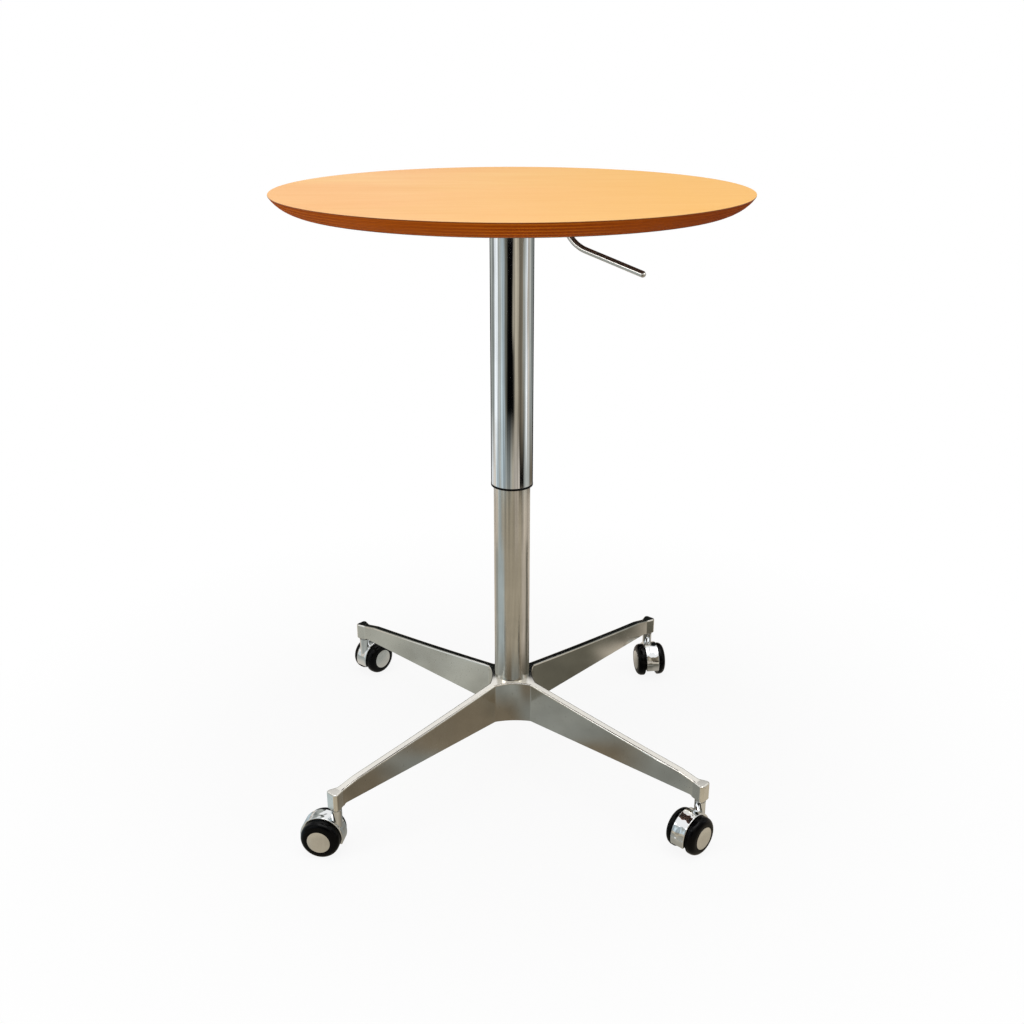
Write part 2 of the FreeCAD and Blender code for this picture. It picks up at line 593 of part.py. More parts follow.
def make_pivot():
    length = CHANNEL_WIDTH + 2 * PIVOT_END
    pin = cross_rod(PIVOT_DIAMETER, length, PIVOT_OUT, PIVOT_Z)
    groove = cross_rod(PIVOT_DIAMETER, CLIP_THICKNESS, PIVOT_OUT, PIVOT_Z)
    groove = groove.cut(cross_rod(PIVOT_DIAMETER - 2 * CLIP_GROOVE, CLIP_THICKNESS, PIVOT_OUT, PIVOT_Z))
    clip = cross_rod(PIVOT_CLIP_DIAMETER, CLIP_THICKNESS, PIVOT_OUT, PIVOT_Z)
    clip = clip.cut(cross_rod(PIVOT_DIAMETER - 2 * CLIP_GROOVE, CLIP_THICKNESS, PIVOT_OUT, PIVOT_Z))
    clips = []
    for side in (-1, 1):
        place = vec(0, side * (CHANNEL_WIDTH / 2 + PIVOT_CLIP_INSET + CLIP_THICKNESS / 2), 0)
        clips.append(clip.translated(place))
        pin = pin.cut(groove.translated(place))
    return {"lever_pivot_pin": pin, "pivot_clips": Part.makeCompound(clips)}


# Star base

def hub_corner():
    """Where the side of an arm along +X meets the hub's wall."""
    return vec((HUB_RADIUS + HUB_HOLLOW) / DIAGONAL - HALF_ARM, HALF_ARM, 0)


def arm_outline():
    """Plan of one arm along +X, and of the hub's wall from it to the next arm."""
    hub_end = hub_corner()
    flare = vec(ARM_RADIUS - BOSS_REACH, HALF_ARM, 0)
    corner = vec(ARM_RADIUS + BOSS_REACH, BOSS_WIDTH / 2, 0)
    bend = bend_at(hub_end, flare, corner, BOSS_BEND)
    tip = bend_at(flare, corner, vec(corner.x, 0, 0), BOSS_CORNER)
    side = [line(hub_end, bend[0]), arc(*bend), line(bend[2], tip[0]), arc(*tip)]
    other_side = [edge.mirror(ORIGIN, ALONG_Y) for edge in side]
    wall_middle = vec(HUB_RADIUS * DIAGONAL, HUB_RADIUS * DIAGONAL, 0)
    wall = arc(hub_end, wall_middle, vec(hub_end.y, hub_end.x, 0))
    return side + [line(tip[2], vec(tip[2].x, -tip[2].y, 0))] + other_side + [wall]


def is_crease(edge):
    """An upright edge where an arm meets the hub's wall."""
    low, high = edge.Vertexes[0].Point, edge.Vertexes[-1].Point
    upright = math.hypot(low.x - high.x, low.y - high.y) < SAME
    return upright and abs(math.hypot(low.x, low.y) - hub_corner().Length) < SAME


def star_prism(low, high):
    edges = []
    for angle in (45, 135, 225, 315):
        edges += [turn_about_column(edge, angle) for edge in arm_outline()]
    face = Part.Face(Part.Wire(Part.sortEdges(edges)[0]))
    star = face.translated(vec(0, 0, low)).extrude(UP * (high - low))
    return star.makeFillet(HUB_CREASE, [e for e in star.Edges if is_crease(e)])


def arm_profile():
    """Height of the base against distance from the column, turned into a solid."""
    rim = ARM_RADIUS + 2 * BOSS_REACH
    tip_under = BOSS_BOTTOM + ARM_TIP_RISE
    tip_top = tip_under + ARM_TIP_HEIGHT
    boss_inner = ARM_RADIUS - BOSS_REACH
    dip_top = vec(ARM_RADIUS - BOSS_DIP, 0, tip_top)
    rim_top = vec(rim, 0, BOSS_TOP)
    level_out = bend_at(dip_top, vec(boss_inner, 0, BOSS_TOP), rim_top, DIP_ROUND)
    hub_top = vec(INNER_TUBE_OD / 2, 0, HUB_TOP)
    hub_foot = vec(INNER_TUBE_OD / 2 + HUB_WALL / 2, 0, HUB_BOTTOM)
    sag_middle = (hub_top + dip_top) * 0.5 - vec(0, 0, ARM_SAG)
    scoop_start = vec(boss_inner - BOSS_SCOOP, 0, tip_under)
    scoop_end = vec(boss_inner, 0, BOSS_BOTTOM)
    scoop_middle = vec(scoop_start.x + BOSS_SCOOP * DIAGONAL, 0, tip_under - ARM_TIP_RISE * (1 - DIAGONAL))
    return turned([
        line(vec(0, 0, HUB_TOP), hub_top), arc(hub_top, sag_middle, dip_top),
        line(dip_top, level_out[0]), arc(*level_out), line(level_out[2], rim_top),
        line(rim_top, vec(rim, 0, BOSS_BOTTOM)),
        line(vec(rim, 0, BOSS_BOTTOM), scoop_end),
        arc(scoop_end, scoop_middle, scoop_start), line(scoop_start, hub_foot),
        line(hub_foot, vec(0, 0, HUB_BOTTOM)),
        line(vec(0, 0, HUB_BOTTOM), vec(0, 0, HUB_TOP)),
    ])


def is_top_edge(edge):
    """An edge between the base's top and its upright sides."""
    lowest = min(v.Z for v in edge.Vertexes)
    return lowest > (BOSS_BOTTOM + BOSS_TOP) / 2


def make_star_base():
    casting = star_prism(HUB_BOTTOM, HUB_TOP).common(arm_profile()).removeSplitter()
    rounded = [e for e in casting.Edges if is_top_edge(e) and not is_across_arm(e)]
    casting = casting.makeFillet(ARM_EDGE_ROUND, rounded)
    casting = casting.makeChamfer(BOSS_FOOT_CHAMFER, [e for e in casting.Edges if is_boss_foot(e)])
    stem_bores = [rod(SLEEVE_OD, BOSS_BOTTOM, STEM_BORE_TOP, x, y) for x, y in stem_places()]
    return casting.cut([rod(INNER_TUBE_OD, HUB_BOTTOM, HUB_TOP)] + stem_bores)


def is_across_arm(edge):
    """An edge that crosses the base's top or runs straight out from the column, or an upright one."""
    low, high = edge.Vertexes[0].Point, edge.Vertexes[-1].Point
    middle = edge.valueAt((edge.FirstParameter + edge.LastParameter) / 2)
    distances = [math.hypot(place.x, place.y) for place in (low, middle, high)]
    same_distance = max(distances) - min(distances) < SAME
    upright = math.hypot(low.x - high.x, low.y - high.y) < SAME
    straight_out = abs(low.x * high.y - low.y * high.x) < SAME
    on_boss = math.hypot(low.x, low.y) > ARM_RADIUS
    return upright or straight_out or (same_distance and not on_boss)


def is_boss_foot(edge):
    """An edge round the underside of an arm's end, other than the one that crosses the arm."""
    places = [v.Point for v in edge.Vertexes]
    distances = [math.hypot(p.x, p.y) for p in places]
    at_foot = all(abs(p.z - BOSS_BOTTOM) < SAME for p in places)
    return at_foot and max(distances) > ARM_RADIUS - BOSS_REACH + SAME


def stem_places():
    angles = [math.radians(place) for place, _ in CASTER_ANGLES.values()]
    return [(ARM_RADIUS * math.cos(a), ARM_RADIUS * math.sin(a)) for a in angles]


def make_stems():
    collar_bottom = BOSS_BOTTOM - STEM_COLLAR
    stem = rod(STEM_FOOT_DIAMETER, CASTER_HEIGHT - STEM_FOOT_LENGTH, collar_bottom)
    stem = stem.fuse([rod(STEM_COLLAR_DIAMETER, collar_bottom, BOSS_BOTTOM),
                      rod(STEM_DIAMETER, BOSS_BOTTOM, BOSS_BOTTOM + STEM_LENGTH)]).removeSplitter()
    sleeve = tube(SLEEVE_OD, STEM_DIAMETER, BOSS_BOTTOM, BOSS_BOTTOM + STEM_LENGTH)
    places = [vec(x, y, 0) for x, y in stem_places()]
    return {
        "caster_stems": Part.makeCompound([stem.translated(p) for p in places]),
        "stem_sleeves": Part.makeCompound([sleeve.translated(p) for p in places]),
    }


# Casters, drawn with the stem on the Z axis and the axle behind it along +X

def make_hood():
    radius = WHEEL_RADIUS + HOOD_PROUD
    half = HOOD_WIDTH / 2
    inner_width = HOOD_WIDTH - 2 * HOOD_WALL
    above_skirt = box((TRAIL - radius, TRAIL + radius), (-half, half),
                      (WHEEL_RADIUS - HOOD_DROP, WHEEL_RADIUS + radius))
    hood = cross_rod(2 * radius, HOOD_WIDTH, TRAIL, WHEEL_RADIUS).common(above_skirt)
    rims = [e for e in hood.Edges if abs(abs(e.CenterOfMass.y) - half) < SAME]
    hood = hood.makeFillet(HOOD_ROUND, rims)
    seam_bottom = WHEEL_RADIUS + HOOD_SEAM_RISE - HOOD_SEAM / 2
    seam = box((TRAIL, TRAIL + radius), (-half, half), (seam_bottom, seam_bottom + HOOD_SEAM))
    seam = seam.cut(cross_rod(2 * (radius - HOOD_SEAM), HOOD_WIDTH, TRAIL, WHEEL_RADIUS))
    hollow = cross_rod(2 * (radius - HOOD_WALL), inner_width, TRAIL, WHEEL_RADIUS)
    axle_boss = cross_rod(AXLE_BOSS_DIAMETER, inner_width, TRAIL, WHEEL_RADIUS)
    foot = WHEEL_RADIUS + NECK_FOOT_RISE
    neck = rod(NECK_DIAMETER, foot, CASTER_HEIGHT).fuse(Part.makeSphere(NECK_DIAMETER / 2, vec(0, 0, foot)))
    stem_bore = rod(NECK_BORE, CASTER_HEIGHT - STEM_FOOT_LENGTH - STEM_COLLAR_GAP, CASTER_HEIGHT)
    axle_bore = cross_rod(AXLE_DIAMETER, HOOD_WIDTH, TRAIL, WHEEL_RADIUS)
    shell = hood.cut([seam, hollow]).fuse([neck, axle_boss]).removeSplitter()
    return shell.cut([stem_bore, axle_bore])


def wheel_section():
    """Half section of one wheel: x is the distance out from the hood's side, z the radius."""
    bore = AXLE_BORE / 2
    groove_low = TREAD_GROOVE_AT - TREAD_GROOVE / 2
    groove_high = TREAD_GROOVE_AT + TREAD_GROOVE / 2
    face = WHEEL_RADIUS - SHOULDER_DROP
    shoulder_x = TREAD_WIDTH + (WHEEL_WIDTH - TREAD_WIDTH) * DIAGONAL
    shoulder = vec(shoulder_x, 0, WHEEL_RADIUS - SHOULDER_DROP * (1 - DIAGONAL))
    outline = [
        (WHEEL_WIDTH, face), (WHEEL_WIDTH, CAP_RECESS_DIAMETER / 2), (CAP_SEAT, CAP_RECESS_DIAMETER / 2),
        (CAP_SEAT, CAP_SPIGOT_DIAMETER / 2), (SPIGOT_FLOOR, CAP_SPIGOT_DIAMETER / 2), (SPIGOT_FLOOR, bore),
        (0, bore), (0, WHEEL_RADIUS - TREAD_CHAMFER), (TREAD_CHAMFER, WHEEL_RADIUS),
        (groove_low, WHEEL_RADIUS), (groove_low, WHEEL_RADIUS - TREAD_GROOVE),
        (groove_high, WHEEL_RADIUS - TREAD_GROOVE), (groove_high, WHEEL_RADIUS), (TREAD_WIDTH, WHEEL_RADIUS),
    ]
    points = [vec(x, 0, z) for x, z in outline]
    edges = [line(a, b) for a, b in zip(points, points[1:])]
    return edges + [arc(points[-1], shoulder, points[0])]


def cap_section():
    """Half section of a hub cap: its dome falls a quarter of the way by half its radius."""
    rim = WHEEL_WIDTH + CAP_PROUD
    radius = CAP_DIAMETER / 2
    crown = vec(rim + CAP_DOME, 0, 0)
    dome_middle = vec(rim + 0.75 * CAP_DOME, 0, radius / 2)
    spigot = CAP_SPIGOT_DIAMETER / 2
    points = [vec(rim, 0, radius), vec(CAP_SEAT, 0, radius), vec(CAP_SEAT, 0, spigot),
              vec(SPIGOT_FLOOR, 0, spigot), vec(SPIGOT_FLOOR, 0, 0), crown]
    return [line(a, b) for a, b in zip(points, points[1:])] + [arc(crown, dome_middle, points[0])]


def on_axle(shape, side):
    """Move a piece turned about X to the axle, on the +Y or -Y side of the hood."""
    placed = shape.copy()
    placed.translate(vec(WHEEL_INNER, 0, 0))
    placed.rotate(ORIGIN, UP, 90.0 * side)
    placed.translate(vec(TRAIL, 0, WHEEL_RADIUS))
    return placed


def make_caster():
    wheel = turned(wheel_section(), ALONG_X)
    cap = turned(cap_section(), ALONG_X)
    axle_length = 2 * (WHEEL_INNER + SPIGOT_FLOOR - AXLE_END_GAP)
    return {
        "caster_body": make_hood(),
        "axle": cross_rod(AXLE_DIAMETER, axle_length, TRAIL, WHEEL_RADIUS),
        "wheel_a": on_axle(wheel, 1),
        "wheel_b": on_axle(wheel, -1),
        "cap_a": on_axle(cap, 1),
        "cap_b": on_axle(cap, -1),
    }


def place_casters():
    pieces = {}
    caster = make_caster()
    for (name, (_, trail_angle)), (x, y) in zip(CASTER_ANGLES.items(), stem_places()):
        for piece, shape in caster.items():
            pieces[name + "_" + piece] = turn_about_column(shape, trail_angle).translated(vec(x, y, 0))
    return pieces


def main():
    on_lever_line = {"mount_channel": make_mount_channel()}
    for group in (make_fixings(), make_lever(), make_pivot()):
        on_lever_line.update(group)
    pieces = {name: on_lever_side(shape) for name, shape in on_lever_line.items()}
    pieces["star_base"] = make_star_base()
    pieces["taper_socket"] = make_taper_socket()
    groups = (make_top(), make_outer_column(), make_inner_column(), make_gas_cylinder(), make_release_pin(),
              make_piston(), make_bearing(), make_stems(), place_casters())
    for group in groups:
        pieces.update(group)
    os.makedirs("parts", exist_ok=True)
    for name, shape in pieces.items():
        shape.exportStep("parts/" + name + ".step")


main()
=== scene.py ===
import json
import math

import bpy
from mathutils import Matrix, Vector


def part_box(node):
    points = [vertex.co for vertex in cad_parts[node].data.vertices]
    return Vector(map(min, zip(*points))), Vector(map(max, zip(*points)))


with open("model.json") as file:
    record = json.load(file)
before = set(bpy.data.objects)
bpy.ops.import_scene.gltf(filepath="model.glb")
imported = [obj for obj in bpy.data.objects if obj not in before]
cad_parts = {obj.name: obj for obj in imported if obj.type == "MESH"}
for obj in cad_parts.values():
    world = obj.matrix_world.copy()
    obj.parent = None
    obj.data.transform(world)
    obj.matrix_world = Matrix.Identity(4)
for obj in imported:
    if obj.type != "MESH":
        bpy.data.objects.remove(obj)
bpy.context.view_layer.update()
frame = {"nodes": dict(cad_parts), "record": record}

# Sizes are in metres and angles in degrees, unless a name or a comment says otherwise.

# The camera, fitted to the raised table of the photograph
IMAGE_WIDTH_PIXELS = 1024
FOCAL_LENGTH_PIXELS = 1180.0
SENSOR_WIDTH_MM = 36.0
CAMERA_DISTANCE = 1.516      # from the column's axis
CAMERA_HEIGHT = 0.975
CAMERA_TURN = -2.3           # round the column from straight in front
CAMERA_PITCH = 21.5          # below level

# The table top
TOP_LOW, TOP_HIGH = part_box("top_core")
PLY_COUNT = 9
PLY_WANDER = 0.0006          # how far a sheet's faces stray from level
GLUE_SHARE = 0.07            # of a sheet's thickness, at each of its faces
PAINTED_YELLOW_LIGHT = (-0.15, 0.2)       # along X, from where the painted yellow light starts to where it is full
PAINTED_EDGE_SHADE = (0.0, 0.22)            # along X, in the same way, for the painted shade on the plywood edge

# Chrome plate
TARNISH = 0.86               # brightness of the hazy patches, as a share of the clear plate's

# Floor and light
WHITE = (1, 1, 1, 1)
FLOOR_SIZE = 30.0
SHADOW_SHARE = 0.1           # of the floor's own shading, which shows near the column
SHADOW_FADE = (0.4, 0.9)     # distances from the column over which that share falls to nothing
AMBIENT = 0.36               # the world's strength as light, where a strength of 1 shows as white
LAMP_TARGET = Vector((0, 0, 0.45))
LAMP_WHITE = (1.0, 1.0, 1.0)
LAMP_LILAC = (1.0, 0.985, 1.0)
LAMP_WARM = (1.0, 0.985, 0.95)

# Painted reflections: a ring of wall and a disc of floor, turned to the camera, that glow though they are
# no lamps and show only in reflections
FACING_CAMERA = (0, 0, math.radians(CAMERA_TURN))
REFLECTION_RADIUS = 0.8
REFLECTION_WALL_HEIGHT = 0.74
REFLECTION_DISC_HEIGHT = 0.002           # height over the pale floor
REFLECTION_SIDES = 96
WALL_STREAK = 0.4            # how far streaks of painted reflection brighten and dim the wall, as a share of its tone
FLOOR_STREAK = 0.2
TONE_SWAY = 0.12             # radians that a tone strays to either side

# Heights on the wall and distances on the floor over which one ring of tones turns into the next
FOOT_TO_LOWER = (0.1, 0.14)
LOWER_TO_UPPER = (0.16, 0.3)
UPPER_TO_WHITE = (0.66, REFLECTION_WALL_HEIGHT)
NEAR_TO_MIDDLE = (0.16, 0.22)
MIDDLE_TO_FAR = (0.27, 0.37)

# The painted reflection tones in 0 to 255 display steps, and the rings of them by azimuth from the
# camera's side
PAINTED_REFLECTION_TONES = {
    "black": (4, 4, 5), "dark": (26, 28, 28), "olive": (100, 98, 88), "umber": (116, 107, 92),
    "ash": (140, 144, 141), "stone": (168, 171, 166), "sand": (182, 173, 155), "linen": (206, 197, 185),
    "frost": (190, 204, 210), "pale": (246, 250, 253),
}
UPPER_WALL = {
    -176: "dark", -152: "dark", -136: "stone", -112: "ash", -98: "pale", -84: "pale", -72: "stone",
    -50: "frost", -34: "olive", -20: "black", 4: "black", 13: "sand", 28: "sand", 40: "umber",
    56: "umber", 70: "stone", 84: "pale", 96: "linen", 112: "stone", 136: "ash", 152: "dark", 176: "dark",
}
LOWER_WALL = {
    -176: "dark", -152: "dark", -138: "pale", -104: "linen", -88: "frost", -70: "stone", -50: "frost",
    -28: "ash", -10: "ash", 4: "sand", 16: "linen", 36: "linen", 42: "black", 64: "black", 72: "stone",
    100: "stone", 118: "umber", 140: "umber", 152: "dark", 176: "dark",
}
WALL_FOOT = {-110: "linen", -84: "frost", -56: "sand", 8: "sand", 26: "linen", 53: "sand", 84: "linen"}
NEAR_FLOOR = {-100: "stone", -50: "ash", -10: "ash", 10: "umber", 60: "umber", 100: "olive"}
MIDDLE_FLOOR = {
    -100: "stone", -50: "ash", -26: "umber", -11: "umber", 2: "ash", 30: "ash", 60: "umber", 100: "olive",
}
FAR_FLOOR = {
    -130: "linen", -118: "stone", -104: "stone", -92: "frost", -58: "frost", -44: "sand", 60: "sand",
    72: "linen", 92: "linen", 108: "olive", 118: "olive", 130: "linen",
}


def linear(red, green, blue):
    """A colour given in 0 to 255 display steps, as linear light with full alpha, by the sRGB curve."""
    steps = [c / 255 for c in (red, green, blue)]
    return [c / 12.92 if c <= 0.04045 else ((c + 0.055) / 1.055) ** 2.4 for c in steps] + [1.0]


class Finish:
    """A node material, with short ways to add the nodes that the finishes below use."""

    def __init__(self, name, **surface):
        self.material = bpy.data.materials.new(name)
        self.material.use_nodes = True
        self.tree = self.material.node_tree
        self.surface = self.tree.nodes["Principled BSDF"]
        self.feed(self.surface, surface)
        self.position = self.add("TexCoord", outlet="Object")

    def feed(self, node, inputs):
        """Link or set inputs of a node, given by number or by name, with _ for a space."""
        for name, value in inputs.items():
            socket = node.inputs[name if isinstance(name, int) else name.replace("_", " ")]
            if isinstance(value, bpy.types.NodeSocket):
                self.tree.links.new(value, socket)
            else:
                socket.default_value = value

    def add(self, kind, inputs=None, outlet=0, **settings):
        """Add a node and return one of its outputs."""
        node = self.tree.nodes.new("ShaderNode" + kind)
        for name, value in settings.items():
            setattr(node, name, value)
        self.feed(node, inputs or {})
        return node.outputs[outlet]

    def surfaced(self, **inputs):
        """Feed the surface's shader and return the finished material."""
        self.feed(self.surface, inputs)
        return self.material

    def show(self, shader):
        """Show another shader in place of the surface's."""
        self.tree.links.new(shader, self.tree.nodes["Material Output"].inputs["Surface"])

    def noise(self, scale, detail=3.0, roughness=0.5, fineness=(1, 1, 1)):
        """Cloudy noise round 0.5, with a fineness of its own along X, Y and Z."""
        place = self.add("Mapping", {"Vector": self.position, "Scale": fineness})
        inputs = {"Vector": place, "Scale": scale, "Detail": detail, "Roughness": roughness}
        return self.add("TexNoise", inputs)

    def math(self, operation, first, second=0.0):
        return self.add("Math", {0: first, 1: second}, operation=operation)

    def inverse(self, share):
        return self.math("SUBTRACT", 1.0, share)

    def spread(self, value, low, high, to_low=0.0, to_high=1.0):
        """Stretch the part of a value between low and high to a new range, and clip the rest."""
        return self.add("MapRange", {0: value, 1: low, 2: high, 3: to_low, 4: to_high})

    def blend(self, share, first, second):
        """The first colour where the share is 0 and the second where it is 1."""
        return self.add("Mix", {0: share, 6: first, 7: second}, outlet=2, data_type="RGBA")

    def tint(self, base, mask, share, colour):
        """Lay a colour over a base where a mask is 1, up to the share given."""
        return self.blend(self.math("MULTIPLY", mask, share), base, colour)

    def bump(self, height, distance, strength=1.0):
        return self.add("Bump", {"Height": height, "Distance": distance, "Strength": strength})

    def axis(self, name, vector=None):
        return self.add("SeparateXYZ", {0: vector or self.position}, outlet=name)

    def facing_up(self):
        """0 on a side and 1 on a level face."""
        normal = self.add("NewGeometry", outlet="Normal")
        return self.spread(self.axis("Z", normal), 0.5, 0.9)

    def around(self):
        """Angle round the column's axis, in radians."""
        return self.math("ARCTAN2", self.axis("Y"), self.axis("X"))

    def reach(self):
        """Distance from the object's own origin."""
        return self.add("VectorMath", {0: self.position}, outlet="Value", operation="LENGTH")


def wood_grain(f, along, across):
    """Fine streaks of grain along X: 0 in the pores and 1 between them."""
    streaks = f.noise(1.0, 4.0, 0.6, fineness=(along, across, across))
    return f.spread(streaks, 0.25, 0.75)


def veneer_finish():
    """Honey-coloured face veneer in satin lacquer, with painted yellow light to the right and a dark cut
    rim.
    """
    f = Finish("honey_veneer", Specular_IOR_Level=0.22, Coat_Weight=0.05, Coat_Roughness=0.35)
    figure = f.spread(f.noise(5.0, 4.0, 0.6, fineness=(0.6, 1.8, 1)), 0.3, 0.7)
    blush = f.spread(f.noise(2.6, 3.0, 0.6, fineness=(1, 1.4, 1)), 0.35, 0.65)
    grain = wood_grain(f, along=9.0, across=260.0)
    flecks = f.spread(f.noise(1.0, 2.0, 0.5, fineness=(60, 900, 1)), 0.66, 0.8)
    colour = f.blend(figure, linear(230, 171, 98), linear(240, 197, 130))
    colour = f.tint(colour, blush, 0.7, linear(238, 178, 114))
    # painted light: the veneer turns yellower towards the right, as if warm light falls from that side
    colour = f.tint(colour, f.spread(f.axis("X"), *PAINTED_YELLOW_LIGHT), 0.9, linear(235, 179, 83))
    colour = f.tint(colour, f.inverse(grain), 0.2, linear(216, 142, 70))
    colour = f.tint(colour, flecks, 0.16, linear(190, 114, 54))
    cut_rim = f.blend(f.noise(40.0), linear(118, 56, 4), linear(140, 70, 10))
    return f.surfaced(
        Base_Color=f.blend(f.facing_up(), cut_rim, colour),
        Roughness=f.spread(grain, 0.0, 1.0, 0.58, 0.5),
        Normal=f.bump(grain, 0.00003, 0.35),
    )


def plywood_finish():
    """Stained plywood edge: sheets that show end grain and long grain by turns, with painted shade
    darkening it to the right.
    """
    f = Finish("stained_plywood_edge", Roughness=0.6, Specular_IOR_Level=0.02)
    wander = f.math("MULTIPLY", f.noise(9.0, 2.0, 0.5), PLY_WANDER)
    height = f.math("SUBTRACT", f.math("ADD", f.axis("Z"), wander), TOP_LOW.z)
    sheet = f.math("MULTIPLY", height, PLY_COUNT / (TOP_HIGH.z - TOP_LOW.z))
    odd = f.math("MODULO", f.math("FLOOR", sheet), 2.0)
    along = f.math("ABSOLUTE", f.math("COSINE", f.around()))
    end_grain = f.math("ABSOLUTE", f.math("SUBTRACT", odd, along))
    streaks = f.noise(1.0, 4.0, 0.6, fineness=(30, 30, 1400))
    patches = f.spread(f.noise(7.0, 2.0, 0.5), 0.35, 0.7)
    from_middle = f.math("ABSOLUTE", f.math("SUBTRACT", f.math("FRACT", sheet), 0.5))
    glue = f.math("GREATER_THAN", from_middle, 0.5 - GLUE_SHARE)
    tone = f.blend(f.spread(end_grain, 0.1, 0.9), linear(202, 106, 18), linear(152, 60, 0))
    tone = f.tint(tone, f.spread(streaks, 0.4, 0.75), 0.6, linear(128, 48, 0))
    tone = f.tint(tone, patches, 0.4, linear(180, 84, 4))
    tone = f.tint(tone, glue, 0.6, linear(92, 34, 0))
    # painted shade: the edge is darkened towards the right
    tone = f.tint(tone, f.spread(f.axis("X"), *PAINTED_EDGE_SHADE), 0.6, linear(120, 42, 0))
    return f.surfaced(Base_Color=tone, Normal=f.bump(streaks, 0.0001, 0.4))


def backing_finish():
    """Backing sheet under the top, with open grain; its dark brown is partly the sheet's own colour and
    partly painted shade of the underside.
    """
    f = Finish("backing_sheet", Roughness=0.55)
    grain = wood_grain(f, along=7.0, across=200.0)
    figure = f.spread(f.noise(4.0, 3.0, 0.5, fineness=(0.6, 2.4, 1)), 0.3, 0.7)
    # dark browns: partly the sheet's own colour, partly painted shade under the top
    colour = f.blend(figure, linear(72, 42, 26), linear(88, 54, 34))
    colour = f.tint(colour, f.inverse(grain), 0.5, linear(52, 28, 16))
    return f.surfaced(Base_Color=colour, Normal=f.bump(grain, 0.00006, 0.6))


def plated_finish(name, colour, smooth, dull, scuffs=0.0, ripple=26.0, depth=0.0002):
    """Chrome plate with ripples, hazy patches and, where it rubs, scuffs."""
    f = Finish(name, Metallic=1.0)
    ripples = f.noise(ripple, 1.0, 0.4, fineness=(1, 1, 0.4))
    haze = f.noise(16.0, 4.0, 0.6)
    marks = f.spread(f.noise(1.0, 3.0, 0.6, fineness=(40, 40, 260)), 0.58, 0.72)
    rough = f.spread(haze, 0.4, 0.75, smooth, dull)
    rough = f.math("ADD", rough, f.math("MULTIPLY", marks, scuffs))
    tarnished = [c * TARNISH for c in colour[:3]] + [1.0]
    tone = f.blend(f.spread(haze, 0.35, 0.8), colour, tarnished)
    return f.surfaced(Base_Color=tone, Roughness=rough, Normal=f.bump(ripples, depth))


def cast_finish():
    """Polished cast aluminium: buffing marks, small pits and cloudy patches."""
    f = Finish("polished_casting", Metallic=1.0)
    cloud = f.noise(14.0, 5.0, 0.6)
    buffed = f.noise(1.0, 3.0, 0.6, fineness=(160, 160, 420))
    pits = f.spread(f.noise(520.0, 1.0, 0.4), 0.7, 0.78)
    colour = f.blend(f.spread(cloud, 0.3, 0.7), linear(226, 222, 213), linear(238, 235, 228))
    colour = f.tint(colour, pits, 0.5, linear(110, 107, 99))
    return f.surfaced(
        Base_Color=colour,
        Roughness=f.spread(cloud, 0.3, 0.75, 0.09, 0.2),
        Normal=f.bump(f.blend(0.3, buffed, cloud), 0.00006, 0.25),
    )


def steel_finish(name, low, high, rough):
    """Plain metal with short turned or brushed marks."""
    f = Finish(name, Metallic=1.0)
    marks = f.noise(1.0, 3.0, 0.6, fineness=(420, 420, 60))
    return f.surfaced(
        Base_Color=f.blend(marks, low, high),
        Roughness=f.spread(marks, 0.3, 0.7, rough, rough + 0.12),
        Normal=f.bump(marks, 0.00001, 0.4),
    )


def moulded_finish(name, colour, worn, rough, shine):
    """Moulded plastic or rubber: fine texture and rubbed patches."""
    f = Finish(name, Specular_IOR_Level=shine)
    texture = f.noise(900.0, 2.0, 0.5)
    rubbed = f.spread(f.noise(60.0, 4.0, 0.6), 0.5, 0.8)
    return f.surfaced(
        Base_Color=f.tint(colour, rubbed, 0.5, worn),
        Roughness=f.spread(rubbed, 0.0, 1.0, rough, rough + 0.15),
        Normal=f.bump(texture, 0.00002, 0.15),
    )


def painted_finish():
    """Black powder coat with its fine orange-peel surface."""
    f = Finish("black_powder_coat", Roughness=0.45)
    peel = f.noise(420.0, 2.0, 0.5)
    tone = f.blend(f.noise(18.0), linear(22, 22, 23), linear(32, 32, 33))
    return f.surfaced(Base_Color=tone, Normal=f.bump(peel, 0.00015, 0.35))


def plated_finishes():
    """Bright chrome, the duller chrome of worn pieces and the wavier chrome of the casters' hoods."""
    bright = linear(238, 240, 241)
    worn = linear(212, 209, 202)
    return {
        "chrome": plated_finish("chrome_plate", bright, smooth=0.05, dull=0.1),
        "worn_chrome": plated_finish("worn_chrome_plate", worn, smooth=0.15, dull=0.2, scuffs=0.03),
        "caster_chrome": plated_finish("caster_chrome_plate", bright, smooth=0.03, dull=0.08,
                                       ripple=66.0, depth=0.0024),
    }


def moulded_finishes():
    """Plastic and rubber: the column's ring, its inner bush, the wheels and the rod's buffer."""
    return {
        "black_plastic": moulded_finish("ring_plastic", linear(8, 8, 8), linear(18, 18, 18),
                                        rough=0.35, shine=0.12),
        "nylon": moulded_finish("white_nylon", linear(222, 220, 212), linear(206, 202, 192),
                                rough=0.4, shine=0.5),
        "wheel_black": moulded_finish("gloss_black_wheel", linear(4, 4, 5), linear(8, 8, 8),
                                      rough=0.16, shine=0.1),
        "rubber": moulded_finish("black_rubber", linear(20, 20, 20), linear(34, 33, 32),
                                 rough=0.6, shine=0.3),
    }


